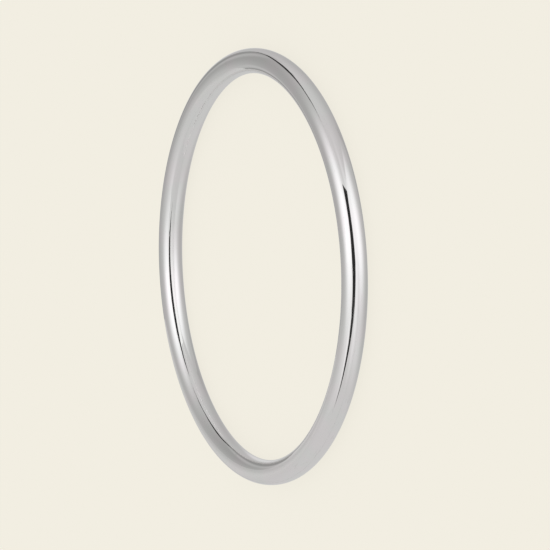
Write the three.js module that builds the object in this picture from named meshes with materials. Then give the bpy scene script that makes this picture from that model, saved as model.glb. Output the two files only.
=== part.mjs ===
// A plain closed bangle: round silver wire bent to a circle, its ends soldered together,
// and the whole ring filed and polished until no joint shows.
//
// Millimetres, +Z up. The bangle lies flat, as it does on a table: its axis is Z, its centre
// is over the origin, and z = 0 is the plane it rests on.

import * as THREE from 'three';

// Driving dimensions
const OUTER_DIAMETER = 70; // across the outside of the ring
const WIRE_DIAMETER = 4; // thickness of the round wire

// How finely the round forms are cut into flat faces. Both counts are multiples of 4, so the
// section has flats that face straight up, down, in and out, and the ring measures its full
// diameter along X and along Y.
const WIRE_SIDES = 20;
const RING_SEGMENTS = 120;

// Worked out from the driving dimensions
const WIRE_RADIUS = WIRE_DIAMETER / 2;
const CENTRE_LINE_RADIUS = OUTER_DIAMETER / 2 - WIRE_RADIUS;

const polishedSilver = new THREE.MeshStandardMaterial({
  color: 0xcfcdc9,
  roughness: 0.07,
  metalness: 1,
});

// The wire's section, as a polygon whose flats touch the round wire. x is the distance from the
// ring's axis and y is the height over the table. The outline runs up the outside of the ring,
// back down its inside, and closes on its first point.
function wireSection() {
  const sideAngle = (2 * Math.PI) / WIRE_SIDES;
  const cornerRadius = WIRE_RADIUS / Math.cos(sideAngle / 2);
  const section = [];
  for (let corner = 0; corner < WIRE_SIDES; corner += 1) {
    const angle = (corner - 0.5) * sideAngle;
    const outward = cornerRadius * Math.cos(angle);
    const upward = cornerRadius * Math.sin(angle);
    section.push(new THREE.Vector2(CENTRE_LINE_RADIUS + outward, WIRE_RADIUS + upward));
  }
  section.push(section[0].clone());
  return section;
}

// The ring: the wire's section turned once about the axis, which a lathe has along Y.
function makeBangle() {
  const geometry = new THREE.LatheGeometry(wireSection(), RING_SEGMENTS);
  geometry.rotateX(Math.PI / 2);
  const bangle = new THREE.Mesh(geometry, polishedSilver);
  bangle.name = 'bangle';
  return bangle;
}

const bracelet = new THREE.Group();
bracelet.add(makeBangle());

export default bracelet;
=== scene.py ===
import math

import bmesh
import bpy
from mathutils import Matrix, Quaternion, Vector


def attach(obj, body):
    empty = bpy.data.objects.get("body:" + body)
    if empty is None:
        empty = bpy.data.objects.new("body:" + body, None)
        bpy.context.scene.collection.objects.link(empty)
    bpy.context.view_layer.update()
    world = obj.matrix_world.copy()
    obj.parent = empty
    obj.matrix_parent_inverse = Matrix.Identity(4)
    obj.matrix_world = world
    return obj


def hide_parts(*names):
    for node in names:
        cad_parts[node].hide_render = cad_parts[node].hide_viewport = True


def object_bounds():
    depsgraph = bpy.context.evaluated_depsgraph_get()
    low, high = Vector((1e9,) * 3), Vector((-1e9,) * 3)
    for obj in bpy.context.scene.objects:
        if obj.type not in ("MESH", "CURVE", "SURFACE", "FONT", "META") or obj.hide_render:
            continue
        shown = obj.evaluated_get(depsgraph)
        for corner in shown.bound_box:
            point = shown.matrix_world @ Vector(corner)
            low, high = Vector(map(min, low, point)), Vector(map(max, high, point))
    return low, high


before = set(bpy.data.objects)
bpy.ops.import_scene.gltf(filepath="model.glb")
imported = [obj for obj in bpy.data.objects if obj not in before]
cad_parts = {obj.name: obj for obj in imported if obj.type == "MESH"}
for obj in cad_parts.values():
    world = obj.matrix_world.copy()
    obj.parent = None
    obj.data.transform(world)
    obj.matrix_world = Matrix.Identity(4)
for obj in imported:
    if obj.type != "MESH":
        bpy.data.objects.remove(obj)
cad_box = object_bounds()


# ---------------------------------------------------------------------------------------------
# The camera
# A long lens at about half a metre, as jewellery is shot, held on its side so that the bangle,
# which lies flat on the table, stands tall in the picture.

CAMERA_DISTANCE = 0.4508        # from the centre of the ring
CAMERA_HEIGHT_ANGLE = 26.3      # degrees above the table
CAMERA_ROLL = -92.9             # degrees about the line of sight
CAMERA_LENS = 184.0             # mm, on a 36 mm wide sensor
AIM_RIGHT = 0.00296             # the lens points this far past the ring's centre, to its own right
AIM_DOWN = 0.00130              # and this far below it

lowest, highest = cad_box
ring_centre = (lowest + highest) / 2
height_angle = math.radians(CAMERA_HEIGHT_ANGLE)
towards_camera = Vector((0.0, -math.cos(height_angle), math.sin(height_angle)))
level_view = (-towards_camera).to_track_quat("-Z", "Y")
rolled_view = level_view @ Quaternion((0.0, 0.0, 1.0), math.radians(CAMERA_ROLL))
view_right = rolled_view @ Vector((1.0, 0.0, 0.0))
view_up = rolled_view @ Vector((0.0, 1.0, 0.0))

camera_data = bpy.data.cameras.new("studio_camera")
camera_data.lens = CAMERA_LENS
camera_data.sensor_width = 36.0
camera_data.clip_start = 0.01
camera_data.clip_end = 10.0
camera = bpy.data.objects.new("studio_camera", camera_data)
bpy.context.scene.collection.objects.link(camera)
camera.location = ring_centre + towards_camera * CAMERA_DISTANCE
aim_point = ring_centre + view_right * AIM_RIGHT - view_up * AIM_DOWN
line_of_sight = (aim_point - camera.location).normalized()
small_turn = (-towards_camera).rotation_difference(line_of_sight)
camera.rotation_mode = "QUATERNION"
camera.rotation_quaternion = small_turn @ rolled_view
bpy.context.scene.camera = camera


# ---------------------------------------------------------------------------------------------
# The bangle
# One length of round sterling silver wire, bent to a circle round a mandrel. Its ends are
# soldered, the joint is filed away, and the ring is polished on a soft wheel to a mirror.

WIRE_THICKNESS = highest.z - lowest.z
OUTER_DIAMETER = highest.x - lowest.x
STEPS_ROUND_RING = 480
STEPS_ROUND_WIRE = 72


def feed(tree, socket, value):
    """Gives a socket its value: a link from another node, or a plain setting."""
    if isinstance(value, bpy.types.NodeSocket):
        tree.links.new(value, socket)
    else:
        socket.default_value = value


def add_node(tree, kind, **settings):
    """Adds a node; settings name its properties, or its inputs by their labels."""
    node = tree.nodes.new(kind)
    for name, value in settings.items():
        if hasattr(node, name):
            setattr(node, name, value)
        else:
            label = name.replace("_", " ")
            socket = next(s for s in node.inputs if s.name.lower() == label.lower() and s.enabled)
            feed(tree, socket, value)
    return node


def number(tree, operation, *values):
    """A Math node; values are numbers or sockets."""
    node = add_node(tree, "ShaderNodeMath", operation=operation)
    for socket, value in zip(node.inputs, values):
        feed(tree, socket, value)
    return node.outputs[0]


def wire_ring_tree():
    """Round wire swept round a circle, lying on the table."""
    tree = bpy.data.node_groups.new("wire_ring", "GeometryNodeTree")
    tree.interface.new_socket("Ring", in_out="OUTPUT", socket_type="NodeSocketGeometry")
    sizes = {
        "Outer diameter": "NodeSocketFloat",
        "Wire thickness": "NodeSocketFloat",
        "Steps round ring": "NodeSocketInt",
        "Steps round wire": "NodeSocketInt",
        "Finish": "NodeSocketMaterial",
    }
    for name, kind in sizes.items():
        tree.interface.new_socket(name, in_out="INPUT", socket_type=kind)
    given = tree.nodes.new("NodeGroupInput").outputs
    wire_radius = number(tree, "DIVIDE", given["Wire thickness"], 2.0)
    across_centre_lines = number(tree, "SUBTRACT", given["Outer diameter"], given["Wire thickness"])
    ring_radius = number(tree, "DIVIDE", across_centre_lines, 2.0)
    centre_line = add_node(
        tree, "GeometryNodeCurvePrimitiveCircle",
        Resolution=given["Steps round ring"], Radius=ring_radius,
    )
    section = add_node(
        tree, "GeometryNodeCurvePrimitiveCircle",
        Resolution=given["Steps round wire"], Radius=wire_radius,
    )
    swept = add_node(
        tree, "GeometryNodeCurveToMesh",
        Curve=centre_line.outputs["Curve"], Profile_Curve=section.outputs["Curve"],
    )
    lift = add_node(tree, "ShaderNodeCombineXYZ", Z=wire_radius)
    lying = add_node(
        tree, "GeometryNodeTransform",
        Geometry=swept.outputs["Mesh"], Translation=lift.outputs[0],
    )
    smooth = add_node(tree, "GeometryNodeSetShadeSmooth", Geometry=lying.outputs["Geometry"])
    real = add_node(tree, "GeometryNodeRealizeInstances", Geometry=smooth.outputs["Geometry"])
    finished = add_node(
        tree, "GeometryNodeSetMaterial",
        Geometry=real.outputs["Geometry"], Material=given["Finish"],
    )
    result = tree.nodes.new("NodeGroupOutput")
    tree.links.new(finished.outputs["Geometry"], result.inputs["Ring"])
    return tree


def soft_step(tree, value, low, high):
    """0 below low, 1 above high, with a smooth change between them."""
    ramp = tree.nodes.new("ShaderNodeMapRange")
    ramp.interpolation_type = "SMOOTHSTEP"
    for name, given in {"Value": value, "From Min": low, "From Max": high}.items():
        feed(tree, ramp.inputs[name], given)
    return ramp.outputs["Result"]


def polished_silver():
    """Mirror polish with what it keeps of the work: strokes of the mop, hairlines, finger film."""
    material = bpy.data.materials.new("polished_silver")
    material.use_nodes = True
    tree = material.node_tree
    metal = tree.nodes["Principled BSDF"]
    metal.inputs["Metallic"].default_value = 1.0
    place_on_ring = tree.nodes.new("ShaderNodeTexCoord").outputs["Object"]
    at = add_node(tree, "ShaderNodeSeparateXYZ", Vector=place_on_ring)
    x, y, z = at.outputs["X"], at.outputs["Y"], at.outputs["Z"]
    from_axis = number(tree, "SQRT", number(tree, "MULTIPLY_ADD", x, x, number(tree, "MULTIPLY", y, y)))
    wire_radius = WIRE_THICKNESS / 2
    centre_line = OUTER_DIAMETER / 2 - wire_radius
    out_of_wire = number(tree, "SUBTRACT", from_axis, centre_line)
    up_from_wire = number(tree, "SUBTRACT", z, wire_radius)
    sideways = number(tree, "DIVIDE", number(tree, "MULTIPLY", x, centre_line), from_axis)
    lengthways = number(tree, "DIVIDE", number(tree, "MULTIPLY", y, centre_line), from_axis)

    def wire_noise(along, across, seed, detail=2.0):
        """Noise that closes on itself round ring and wire; sizes of its patches in mm."""
        place = add_node(
            tree, "ShaderNodeCombineXYZ",
            X=number(tree, "MULTIPLY", sideways, 1000 / along),
            Y=number(tree, "MULTIPLY", lengthways, 1000 / along),
            Z=number(tree, "MULTIPLY", out_of_wire, 1000 / across),
        )
        node = add_node(
            tree, "ShaderNodeTexNoise", noise_dimensions="4D", Vector=place.outputs[0],
            W=number(tree, "MULTIPLY_ADD", up_from_wire, 1000 / across, seed * 7.3),
            Scale=1.0, Detail=detail, Roughness=0.5,
        )
        return node.outputs[0]

    def thin_line(field, half_width, broken_by, from_level):
        """Hair-thin lines where a noise field passes its middle, broken into short strokes."""
        off_line = number(tree, "ABSOLUTE", number(tree, "SUBTRACT", field, 0.5))
        line = number(tree, "SUBTRACT", 1.0, soft_step(tree, off_line, half_width * 0.3, half_width))
        return number(tree, "MULTIPLY", line, soft_step(tree, broken_by, from_level, from_level + 0.05))

    waves = wire_noise(11.0, 3.0, seed=1, detail=1.0)
    mop_strokes = wire_noise(5.0, 0.11, seed=2)
    hairline_paths = wire_noise(9.0, 0.8, seed=3, detail=1.0)
    hairlines = thin_line(hairline_paths, 0.010, wire_noise(3.0, 0.9, seed=4), 0.55)
    scuff_paths = wire_noise(2.6, 2.2, seed=5, detail=1.0)
    scuffs = thin_line(scuff_paths, 0.005, wire_noise(2.2, 2.0, seed=6), 0.60)
    nicks = soft_step(tree, wire_noise(0.28, 0.22, seed=7, detail=0.0), 0.80, 0.86)
    finger_film = soft_step(tree, wire_noise(8.0, 4.5, seed=8, detail=4.0), 0.50, 0.72)
    oil_tint = wire_noise(4.5, 3.5, seed=9, detail=3.0)
    tarnish = soft_step(tree, wire_noise(16.0, 6.0, seed=10, detail=5.0), 0.48, 0.78)

    def painted(factor, behind, over):
        mix = tree.nodes.new("ShaderNodeMix")
        mix.data_type = "RGBA"
        for socket, value in zip((mix.inputs[0], mix.inputs[6], mix.inputs[7]), (factor, behind, over)):
            feed(tree, socket, value)
        return mix.outputs[2]

    rosy_silver = (0.946, 0.913, 0.914, 1.0)
    straw_silver = (0.921, 0.921, 0.904, 1.0)
    tarnished_silver = (0.80, 0.76, 0.69, 1.0)
    filmed_silver = (0.86, 0.85, 0.84, 1.0)
    scratched_silver = (0.74, 0.72, 0.69, 1.0)
    colour = painted(soft_step(tree, oil_tint, 0.36, 0.64), rosy_silver, straw_silver)
    colour = painted(number(tree, "MULTIPLY", tarnish, 0.12), colour, tarnished_silver)
    colour = painted(number(tree, "MULTIPLY", finger_film, 0.10), colour, filmed_silver)
    colour = painted(number(tree, "MULTIPLY", hairlines, 0.25), colour, scratched_silver)
    tree.links.new(colour, metal.inputs["Base Color"])

    roughness = 0.040
    duller_by = (
        (0.035, finger_film), (0.015, mop_strokes), (0.015, tarnish),
        (0.14, hairlines), (0.10, scuffs), (0.12, nicks),
    )
    for amount, mark in duller_by:
        roughness = number(tree, "MULTIPLY_ADD", mark, amount, roughness)
    tree.links.new(roughness, metal.inputs["Roughness"])

    relief = 0.0
    raised_by_mm = (
        (0.040, waves), (0.0012, mop_strokes), (-0.0012, hairlines), (-0.0010, scuffs), (-0.0030, nicks),
    )
    for rise, mark in raised_by_mm:
        relief = number(tree, "MULTIPLY_ADD", mark, rise / 1000, relief)
    bump = add_node(tree, "ShaderNodeBump", Strength=1.0, Distance=1.0, Height=relief)
    tree.links.new(bump.outputs["Normal"], metal.inputs["Normal"])
    return material


silver = polished_silver()
ring_tree = wire_ring_tree()
blank = bpy.data.objects.new("ring_blank", bpy.data.meshes.new("ring_blank"))
bpy.context.scene.collection.objects.link(blank)
sweep = blank.modifiers.new("wire_ring", "NODES")
sweep.node_group = ring_tree
ring_sizes = {
    "Outer diameter": OUTER_DIAMETER,
    "Wire thickness": WIRE_THICKNESS,
    "Steps round ring": STEPS_ROUND_RING,
    "Steps round wire": STEPS_ROUND_WIRE,
    "Finish": silver,
}
for item in ring_tree.interface.items_tree:
    if item.in_out == "INPUT":
        sweep[item.identifier] = ring_sizes[item.name]
evaluated = blank.evaluated_get(bpy.context.evaluated_depsgraph_get())
ring_mesh = bpy.data.meshes.new_from_object(evaluated)
ring_mesh.name = "polished_bangle"
bpy.data.objects.remove(blank)
bangle = bpy.data.objects.new("polished_bangle", ring_mesh)
bpy.context.scene.collection.objects.link(bangle)
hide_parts("bangle")
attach(bangle, "root")


# ---------------------------------------------------------------------------------------------
# The table
# A sheet of pale cream acrylic, lit softly from below as well as from above, so that the thin
# wire throws next to no shadow on it.

TABLE_SIZE = 6.0
TABLE_COLOUR = (0.888, 0.855, 0.760)
LIT_FROM_BELOW = 0.9            # share of the sheet's light that comes from underneath

half = TABLE_SIZE / 2
table_mesh = bpy.data.meshes.new("table")
table_mesh.from_pydata(
    [(-half, -half, 0), (half, -half, 0), (half, half, 0), (-half, half, 0)], [], [(0, 1, 2, 3)]
)
table = bpy.data.objects.new("table", table_mesh)
bpy.context.scene.collection.objects.link(table)
table.visible_glossy = False

acrylic = bpy.data.materials.new("pale_acrylic")
acrylic.use_nodes = True
acrylic_shader = acrylic.node_tree.nodes["Principled BSDF"]
acrylic_shader.inputs["Base Color"].default_value = (*[c * (1 - LIT_FROM_BELOW) for c in TABLE_COLOUR], 1.0)
acrylic_shader.inputs["Emission Color"].default_value = (*TABLE_COLOUR, 1.0)
acrylic_shader.inputs["Emission Strength"].default_value = LIT_FROM_BELOW
acrylic_shader.inputs["Roughness"].default_value = 1.0
acrylic_shader.inputs["Specular IOR Level"].default_value = 0.0
table_mesh.materials.append(acrylic)


# ---------------------------------------------------------------------------------------------
# The light tent
# A round tent of white fabric, 0.6 m across, pulled over table and ring. The silver is a mirror,
# so what it shows is the inside of this tent: two white soft boxes, the greyer walls between
# them, the dark back panel with its black hem, and the slit in the front for the lens.

TENT_RADIUS = 0.3
WIRE_MIDDLE = WIRE_THICKNESS / 2
WALL_BRIGHTNESS = 0.60
WALL_TINT = (1.0, 0.998, 0.990, 1.0)
SOFT_BOX_TINT = (1.0, 0.998, 1.012, 1.0)

# Azimuth (0 is towards the camera, 90 towards +X) and height of the middle, turn about it,
# half width, half height, softness of the rim, brightness; all angles in degrees.
# Most of these rows began as the result of a fitting program, rounded here to coarse steps.
FRONT_TOP_GLOW = (-5, 35, -55, 45, 20, 1.0, 0.90)
LEFT_WALL = (-15, -20, 0, 35, 80, 0.4, 0.70)
SLIT_UPPER_LIP = (-40, 50, 0, 20, 5, 1.0, 0.90)
SLIT_LOWER_LIP = (0, 10, 0, 35, 10, 1.0, 0.90)
TOP_SOFT_BOX = (40, 65, -50, 25, 35, 0.8, 1.15)
FRONT_SOFT_BOX = (20, -25, 90, 25, 25, 1.0, 1.15)
BACK_PANEL = (150, 10, 20, 40, 55, 0.9, 0.35)
RIGHT_CORNER = (145, -60, 30, 80, 10, 0.6, 0.15)
TENT_FLOOR = (-130, -80, -20, 40, 20, 1.0, 0.45)
RIGHT_WALL = (145, -35, -50, 35, 65, 1.0, 0.45)
BACK_LEFT_FOLD = (200, 30, 0, 30, 30, 1.0, 0.60)
LOW_BACK_GLOW = (205, -25, 0, 45, 20, 1.0, 0.60)
PANEL_BAND = (150, 15, 5, 20, 5, 0.7, 0.45)
PANEL_BAND_END = (185, 15, 0, 15, 5, 0.6, 0.50)
PANEL_FOOT = (165, 5, 0, 40, 5, 0.5, 0.30)
PANEL_HEM_TAIL = (175, -5, 0, 15, 5, 0.6, 0.40)
LOW_SPOT = (165, -20, 0, 10, 10, 0.6, 0.70)

# The points of the five tables below follow measured places, rounded to whole and half degrees.
# azimuth, height: the crisp lower edge of the back panel, running on round the back
PANEL_EDGE = (
    (40, 34), (60, 32), (76, 28.5), (84, 26.5), (92, 25.5), (96, 24), (100, 21.5), (108, 18),
    (116, 15), (120, 13), (124, 10), (129, 6), (136, 2), (150, -2), (166, -8), (240, -9),
)
# azimuth, half height of the black hem along that edge
HEM = (
    (76, 0), (84, 1), (92, 2), (100, 3), (108, 4), (116, 4.5), (124, 3.5), (128, 2.5), (130, 1), (142, 0),
)
# height, azimuth: the crisp right-hand edge of the front soft box
BOX_EDGE = (
    (-66, 125), (-65, 115), (-59, 101), (-54, 90), (-46, 77), (-38, 66.5), (-29, 56), (-18, 47),
    (-7, 40.5), (4, 36), (10, 33.5), (20, 36), (31, 38.5), (36, 42),
)
# azimuth, height: lower and upper edge of the slit in the front
SLIT_BOTTOM = (
    (-86, 31), (-76, 32), (-64, 33), (-56, 33), (-44, 30), (-36, 27), (-28, 23), (-20, 20),
    (-10, 17.5), (0, 14), (12, 16), (20, 17), (28, 15), (31.5, 11.5), (33, 10), (34.5, 15.5),
    (36, 21.5), (39, 30), (40.5, 32.5),
)
SLIT_TOP = (
    (-86, 29.5), (-80, 32), (-72, 36.5), (-68, 38.5), (-60, 42), (-50, 42.5), (-30, 41), (0, 41),
    (12, 39.5), (20, 38), (32, 34.5), (36, 33), (40.5, 32.5),
)
PANEL_BEGINS = 20               # azimuth where the panel starts to show
PANEL_IS_WHOLE = 40             # and where it is fully there
PANEL_EDGE_BLUR = 1.5           # degrees to either side of the line, as for the next three
BOX_EDGE_BLUR = 2
HEM_BLUR = 0.6
SLIT_BLUR = 1
SLIT_LEFT_END = -86
SLIT_LEFT_WHOLE = -85
SLIT_RIGHT_END = 40.5
SLIT_RIGHT_WHOLE = 39.8
HEM_BRIGHTNESS = 0.04
SLIT_BRIGHTNESS = 0.025
LOWEST_DRAWN = -90              # heights and azimuths that a drawn line can have, in degrees
DRAWN_RANGE = 360


def drawn_line(tree, along, points):
    """Height of a line drawn through (along, height) points, in degrees."""
    first, last = points[0][0], points[-1][0]
    place = tree.nodes.new("ShaderNodeMapRange")
    tree.links.new(along, place.inputs["Value"])
    place.inputs["From Min"].default_value = first
    place.inputs["From Max"].default_value = last
    curve = tree.nodes.new("ShaderNodeFloatCurve")
    tree.links.new(place.outputs["Result"], curve.inputs["Value"])
    curve.mapping.extend = "HORIZONTAL"
    line = curve.mapping.curves[0]
    while len(line.points) < len(points):
        line.points.new(0.5, 0.5)
    for point, (at, height) in zip(line.points, points):
        point.location = ((at - first) / (last - first), (height - LOWEST_DRAWN) / DRAWN_RANGE)
        point.handle_type = "VECTOR"
    curve.mapping.update()
    return number(tree, "MULTIPLY_ADD", curve.outputs[0], DRAWN_RANGE, LOWEST_DRAWN)


def blend_towards(tree, mask, behind, brightness):
    """Lays a brightness over what is behind it, as far as the mask goes."""
    node = tree.nodes.new("ShaderNodeMix")
    for socket, value in zip((node.inputs[0], node.inputs[2], node.inputs[3]), (mask, behind, brightness)):
        feed(tree, socket, value)
    return node.outputs[0]


def soft_card_group():
    """An oval patch of the tent: how much of it is seen in a direction, from 0 to 1."""
    tree = bpy.data.node_groups.new("soft_card", "ShaderNodeTree")
    for name in ("Direction", "Middle", "Right", "Up"):
        tree.interface.new_socket(name, in_out="INPUT", socket_type="NodeSocketVector")
    for name in ("Half width", "Half height", "Softness"):
        tree.interface.new_socket(name, in_out="INPUT", socket_type="NodeSocketFloat")
    tree.interface.new_socket("Mask", in_out="OUTPUT", socket_type="NodeSocketFloat")
    given = tree.nodes.new("NodeGroupInput").outputs
    parts = {}
    for name in ("Middle", "Right", "Up"):
        dot = tree.nodes.new("ShaderNodeVectorMath")
        dot.operation = "DOT_PRODUCT"
        tree.links.new(given["Direction"], dot.inputs[0])
        tree.links.new(given[name], dot.inputs[1])
        parts[name] = dot.outputs["Value"]

    def length(x, y):
        return number(tree, "SQRT", number(tree, "ADD", number(tree, "MULTIPLY", x, x),
                      number(tree, "MULTIPLY", y, y)))

    sideways = length(parts["Right"], parts["Up"])
    angle = number(tree, "DEGREES", number(tree, "ARCTAN2", sideways, parts["Middle"]))
    stretched = length(number(tree, "DIVIDE", parts["Right"], given["Half width"]),
                       number(tree, "DIVIDE", parts["Up"], given["Half height"]))
    reach = number(tree, "DIVIDE", number(tree, "MULTIPLY", angle, stretched), sideways)
    inner_rim = number(tree, "SUBTRACT", 1.0, given["Softness"])
    outer_rim = number(tree, "ADD", 1.0, given["Softness"])
    outside = soft_step(tree, reach, inner_rim, outer_rim)
    result = tree.nodes.new("NodeGroupOutput")
    tree.links.new(number(tree, "SUBTRACT", 1.0, outside), result.inputs["Mask"])
    return tree


soft_card = soft_card_group()
fabric = bpy.data.materials.new("tent_fabric")
fabric.use_nodes = True
tent = fabric.node_tree
tent.nodes.clear()
place = tent.nodes.new("ShaderNodeTexCoord").outputs["Object"]
unit_length = tent.nodes.new("ShaderNodeVectorMath")
unit_length.operation = "NORMALIZE"
tent.links.new(place, unit_length.inputs[0])
direction = unit_length.outputs["Vector"]
along = tent.nodes.new("ShaderNodeSeparateXYZ")
tent.links.new(direction, along.inputs[0])
azimuth = number(tent, "DEGREES", number(tent, "ARCTAN2", along.outputs["X"],
                 number(tent, "MULTIPLY", along.outputs["Y"], -1.0)))
height = number(tent, "DEGREES", number(tent, "ARCSINE", along.outputs["Z"]))
round_the_back = number(tent, "WRAP", azimuth, 360.0, 0.0)


def card_mask(middle_azimuth, middle_height, turn, half_width, half_height, softness):
    """How much of one card is seen in the tent's direction, from 0 to 1."""
    round_by = math.radians(middle_azimuth)
    up_by = math.radians(middle_height)
    turned_by = math.radians(turn)
    middle = Vector((
        math.sin(round_by) * math.cos(up_by), -math.cos(round_by) * math.cos(up_by), math.sin(up_by),
    ))
    level = Vector((math.cos(round_by), math.sin(round_by), 0.0))
    upright = middle.cross(level)
    card = tent.nodes.new("ShaderNodeGroup")
    card.node_tree = soft_card
    tent.links.new(direction, card.inputs["Direction"])
    card.inputs["Middle"].default_value = middle
    card.inputs["Right"].default_value = level * math.cos(turned_by) + upright * math.sin(turned_by)
    card.inputs["Up"].default_value = upright * math.cos(turned_by) - level * math.sin(turned_by)
    card.inputs["Half width"].default_value = half_width
    card.inputs["Half height"].default_value = half_height
    card.inputs["Softness"].default_value = softness
    return card.outputs["Mask"]


panel_edge = drawn_line(tent, round_the_back, PANEL_EDGE)
above_panel_edge = number(tent, "SUBTRACT", height, panel_edge)
over_the_edge = soft_step(tent, above_panel_edge, -PANEL_EDGE_BLUR, PANEL_EDGE_BLUR)
panel_shows = soft_step(tent, round_the_back, PANEL_BEGINS, PANEL_IS_WHOLE)
over_the_edge = number(tent, "MULTIPLY", over_the_edge, panel_shows)
short_of_box_edge = number(tent, "SUBTRACT", drawn_line(tent, height, BOX_EDGE), azimuth)
left_of_box_edge = soft_step(tent, short_of_box_edge, -BOX_EDGE_BLUR, BOX_EDGE_BLUR)
right_of_box_edge = number(tent, "SUBTRACT", 1.0, left_of_box_edge)
trims = {BACK_PANEL: over_the_edge, FRONT_SOFT_BOX: left_of_box_edge, RIGHT_CORNER: right_of_box_edge}
cards_from_back_to_front = (
    FRONT_TOP_GLOW, LEFT_WALL, TOP_SOFT_BOX, SLIT_UPPER_LIP, SLIT_LOWER_LIP, FRONT_SOFT_BOX,
    RIGHT_CORNER, TENT_FLOOR, RIGHT_WALL, BACK_LEFT_FOLD, LOW_BACK_GLOW, BACK_PANEL,
    PANEL_BAND, PANEL_BAND_END, PANEL_FOOT, PANEL_HEM_TAIL, LOW_SPOT,
)
brightness = WALL_BRIGHTNESS
for card in cards_from_back_to_front:
    mask = card_mask(*card[:6])
    if card in trims:
        mask = number(tent, "MULTIPLY", mask, trims[card])
    brightness = blend_towards(tent, mask, brightness, card[6])

hem_height = drawn_line(tent, round_the_back, HEM)
from_hem = number(tent, "SUBTRACT", number(tent, "ABSOLUTE", above_panel_edge), hem_height)
on_hem = number(tent, "SUBTRACT", 1.0, soft_step(tent, from_hem, -HEM_BLUR, HEM_BLUR))
brightness = blend_towards(tent, on_hem, brightness, HEM_BRIGHTNESS)

above_slit_bottom = number(tent, "SUBTRACT", height, drawn_line(tent, azimuth, SLIT_BOTTOM))
below_slit_top = number(tent, "SUBTRACT", drawn_line(tent, azimuth, SLIT_TOP), height)
over_bottom = soft_step(tent, above_slit_bottom, -SLIT_BLUR, SLIT_BLUR)
under_top = soft_step(tent, below_slit_top, -SLIT_BLUR, SLIT_BLUR)
right_of_end = soft_step(tent, azimuth, SLIT_LEFT_END, SLIT_LEFT_WHOLE)
left_of_end = soft_step(tent, azimuth, SLIT_RIGHT_END, SLIT_RIGHT_WHOLE)
in_slit = number(tent, "MULTIPLY", over_bottom, under_top)
in_slit = number(tent, "MULTIPLY", in_slit, right_of_end)
in_slit = number(tent, "MULTIPLY", in_slit, left_of_end)
brightness = blend_towards(tent, in_slit, brightness, SLIT_BRIGHTNESS)

tint = tent.nodes.new("ShaderNodeMix")
tint.data_type = "RGBA"
tent.links.new(soft_step(tent, brightness, 0.35, 1.0), tint.inputs["Factor"])
tint.inputs[6].default_value = WALL_TINT
tint.inputs[7].default_value = SOFT_BOX_TINT
fabric_glow = tent.nodes.new("ShaderNodeEmission")
tent.links.new(tint.outputs[2], fabric_glow.inputs["Color"])
tent.links.new(brightness, fabric_glow.inputs["Strength"])
fabric_surface = tent.nodes.new("ShaderNodeOutputMaterial")
tent.links.new(fabric_glow.outputs[0], fabric_surface.inputs["Surface"])


def seen_only_in_silver(stage_object):
    """Part of the studio that shows as a reflection and in no other way."""
    stage_object.visible_camera = False
    stage_object.visible_diffuse = False
    stage_object.visible_shadow = False
    stage_object.visible_transmission = False


tent_shape = bmesh.new()
bmesh.ops.create_uvsphere(tent_shape, u_segments=128, v_segments=64, radius=TENT_RADIUS)
tent_mesh = bpy.data.meshes.new("light_tent")
tent_shape.to_mesh(tent_mesh)
tent_shape.free()
tent_mesh.materials.append(fabric)
light_tent = bpy.data.objects.new("light_tent", tent_mesh)
light_tent.location.z = WIRE_MIDDLE
bpy.context.scene.collection.objects.link(light_tent)
seen_only_in_silver(light_tent)


# ---------------------------------------------------------------------------------------------
# The side flap of the tent
# The dark panel ends on its left at a flap of the white fabric, which hangs close behind the
# ring. Its edge is straight and crisp, and its other sides run out softly into the tent.

FLAP_BEHIND = 0.107             # from the middle of the ring
FLAP_EDGE = -0.011
FLAP_WIDTH = 0.120
FLAP_FOOT = -0.011
FLAP_TOP = 0.145
FLAP_BRIGHTNESS = 0.60
FLAP_SHADE = 0.50               # brightness along the straight edge
FLAP_FADES_FROM = 0.4           # share of the width, from the straight edge
FLAP_WHOLE_TO = 0.65            # share of the height, from the table
SHADE_WIDTH = 0.05
SHADE_FOOT = 0.02
SHADE_TOP = 0.055               # from here up the shade is full

flap_fabric = bpy.data.materials.new("flap_fabric")
flap_fabric.use_nodes = True
flap = flap_fabric.node_tree
flap.nodes.clear()
flap_place = flap.nodes.new("ShaderNodeSeparateXYZ")
flap.links.new(flap.nodes.new("ShaderNodeTexCoord").outputs["Object"], flap_place.inputs[0])
from_edge = number(flap, "SUBTRACT", FLAP_EDGE, flap_place.outputs["X"])
flap_height = flap_place.outputs["Z"]
faded = soft_step(flap, from_edge, FLAP_FADES_FROM * FLAP_WIDTH, FLAP_WIDTH)
covers = number(flap, "SUBTRACT", 1.0, faded)
covers = number(flap, "MULTIPLY", covers, soft_step(flap, flap_height, FLAP_FOOT, 0.0))
covers = number(flap, "MULTIPLY", covers, soft_step(flap, flap_height, FLAP_TOP, FLAP_WHOLE_TO * FLAP_TOP))
flap_side = flap.nodes.new("ShaderNodeNewGeometry")
covers = number(flap, "MULTIPLY", covers, number(flap, "SUBTRACT", 1.0, flap_side.outputs["Backfacing"]))
in_shade = number(flap, "SUBTRACT", 1.0, soft_step(flap, from_edge, 0.0, SHADE_WIDTH))
in_shade = number(flap, "MULTIPLY", in_shade, soft_step(flap, flap_height, SHADE_FOOT, SHADE_TOP))
flap_light = blend_towards(flap, in_shade, FLAP_BRIGHTNESS, FLAP_SHADE)
flap_glow = flap.nodes.new("ShaderNodeEmission")
flap_glow.inputs["Color"].default_value = WALL_TINT
flap.links.new(flap_light, flap_glow.inputs["Strength"])
flap_mix = flap.nodes.new("ShaderNodeMixShader")
flap.links.new(covers, flap_mix.inputs[0])
flap.links.new(flap.nodes.new("ShaderNodeBsdfTransparent").outputs[0], flap_mix.inputs[1])
flap.links.new(flap_glow.outputs[0], flap_mix.inputs[2])
flap_surface = flap.nodes.new("ShaderNodeOutputMaterial")
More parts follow.
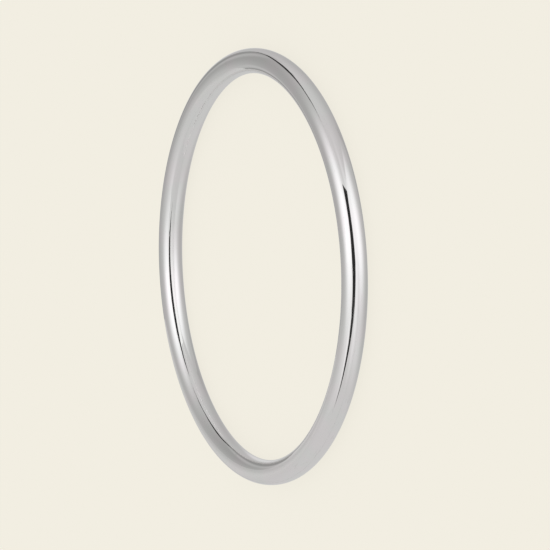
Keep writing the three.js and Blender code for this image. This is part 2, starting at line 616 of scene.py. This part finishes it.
flap.links.new(flap_mix.outputs[0], flap_surface.inputs["Surface"])

flap_left = FLAP_EDGE - FLAP_WIDTH
flap_mesh = bpy.data.meshes.new("tent_flap")
flap_mesh.from_pydata(
    [(flap_left, FLAP_BEHIND, FLAP_FOOT), (FLAP_EDGE, FLAP_BEHIND, FLAP_FOOT),
     (FLAP_EDGE, FLAP_BEHIND, FLAP_TOP), (flap_left, FLAP_BEHIND, FLAP_TOP)], [], [(0, 1, 2, 3)]
)
flap_mesh.materials.append(flap_fabric)
tent_flap = bpy.data.objects.new("tent_flap", flap_mesh)
bpy.context.scene.collection.objects.link(tent_flap)
seen_only_in_silver(tent_flap)


# ---------------------------------------------------------------------------------------------
# The daylight
# Even white light from all round, which falls on the table. Beyond the table's far edge the
# lens sees the table's own colour, so that no horizon shows.

world = bpy.data.worlds.new("studio_light")
bpy.context.scene.world = world
world.use_nodes = True
studio = world.node_tree
studio.nodes.clear()
daylight = studio.nodes.new("ShaderNodeBackground")
daylight.inputs["Color"].default_value = (1, 1, 1, 1)
backdrop = studio.nodes.new("ShaderNodeBackground")
backdrop.inputs["Color"].default_value = (*TABLE_COLOUR, 1.0)
ray = studio.nodes.new("ShaderNodeLightPath")
seen = studio.nodes.new("ShaderNodeMixShader")
studio.links.new(ray.outputs["Is Camera Ray"], seen.inputs[0])
studio.links.new(daylight.outputs[0], seen.inputs[1])
studio.links.new(backdrop.outputs[0], seen.inputs[2])
world_output = studio.nodes.new("ShaderNodeOutputWorld")
studio.links.new(seen.outputs[0], world_output.inputs["Surface"])


# ---------------------------------------------------------------------------------------------
# The card inside the ring
# A curved white card stands just inside the far side of the ring. It hides the wide slit of the
# tent from that side, and a black strip taped to it draws a thinner and shorter dark line there.

CARD_RADIUS = 0.024

# azimuth from the far side, low edge and high edge in mm above the middle of the wire,
# brightness along the low edge and along the high edge
WHITE_CARD = (
    (-27, -1.0, 8.0, 0.57, 0.57),
    (-25, -1.0, 11.0, 0.57, 0.57),
    (-20, -1.0, 12.5, 0.57, 0.59),
    (-15, -1.0, 12.5, 0.58, 0.62),
    (-11, -0.5, 10.0, 0.61, 0.68),
    (-9, 0.3, 9.8, 0.68, 0.74),
    (-5, 0.4, 9.2, 0.75, 0.84),
    (0, 0.4, 8.8, 0.90, 0.94),
    (5, 0.4, 8.6, 0.97, 1.00),
    (10, 0.4, 8.2, 0.97, 1.03),
    (14, 0.4, 7.8, 0.94, 1.03),
    (17, 0.4, 7.2, 0.90, 1.00),
)
# The strip: the first three of these, following measured places. It is equally dark all over.
BLACK_STRIP = (
    (-15.5, 4.5, 4.6),
    (-12.5, 4.6, 5.1),
    (-10.5, 4.7, 5.8),
    (-8, 4.5, 6.7),
    (-5, 4.3, 7.0),
    (-2, 4.2, 7.3),
    (1, 4.0, 7.5),
    (5, 3.8, 7.7),
    (9, 3.7, 7.6),
    (12, 3.7, 7.2),
    (14.5, 3.8, 6.8),
    (17, 4.1, 6.2),
    (20, 4.3, 5.7),
    (23.5, 4.5, 4.8),
)
STRIP_BRIGHTNESS = 0.02
STRIP_OFF_CARD = 0.0002         # it is taped to the outer face of the card

card_surface = bpy.data.materials.new("card_surface")
card_surface.use_nodes = True
card_surface.node_tree.nodes.clear()
tone = card_surface.node_tree.nodes.new("ShaderNodeAttribute")
tone.attribute_name = "brightness"
glow = card_surface.node_tree.nodes.new("ShaderNodeEmission")
surface = card_surface.node_tree.nodes.new("ShaderNodeOutputMaterial")
card_surface.node_tree.links.new(tone.outputs["Fac"], glow.inputs["Strength"])
clear_back = card_surface.node_tree.nodes.new("ShaderNodeBsdfTransparent")
side = card_surface.node_tree.nodes.new("ShaderNodeNewGeometry")
one_sided = card_surface.node_tree.nodes.new("ShaderNodeMixShader")
card_surface.node_tree.links.new(side.outputs["Backfacing"], one_sided.inputs[0])
card_surface.node_tree.links.new(glow.outputs[0], one_sided.inputs[1])
card_surface.node_tree.links.new(clear_back.outputs[0], one_sided.inputs[2])
card_surface.node_tree.links.new(one_sided.outputs[0], surface.inputs["Surface"])


def standing_card(name, radius, rows):
    """A curved card that stands round the middle of the ring."""
    points, tones, faces = [], [], []
    for from_far_side, low, high, low_tone, high_tone in rows:
        round_by = math.radians(180 + from_far_side)
        for edge, edge_tone in ((low, low_tone), (high, high_tone)):
            stands_at = WIRE_MIDDLE + edge / 1000
            points.append((radius * math.sin(round_by), -radius * math.cos(round_by), stands_at))
            tones.append(edge_tone)
    for i in range(0, len(points) - 2, 2):
        faces.append((i, i + 2, i + 3, i + 1))
    mesh = bpy.data.meshes.new(name)
    mesh.from_pydata(points, [], faces)
    mesh.attributes.new("brightness", "FLOAT", "POINT").data.foreach_set("value", tones)
    mesh.materials.append(card_surface)
    card = bpy.data.objects.new(name, mesh)
    bpy.context.scene.collection.objects.link(card)
    seen_only_in_silver(card)


standing_card("white_card", CARD_RADIUS, WHITE_CARD)
strip_rows = [(*row, STRIP_BRIGHTNESS, STRIP_BRIGHTNESS) for row in BLACK_STRIP]
standing_card("black_strip", CARD_RADIUS + STRIP_OFF_CARD, strip_rows)

bpy.context.scene.view_settings.view_transform = "Standard"
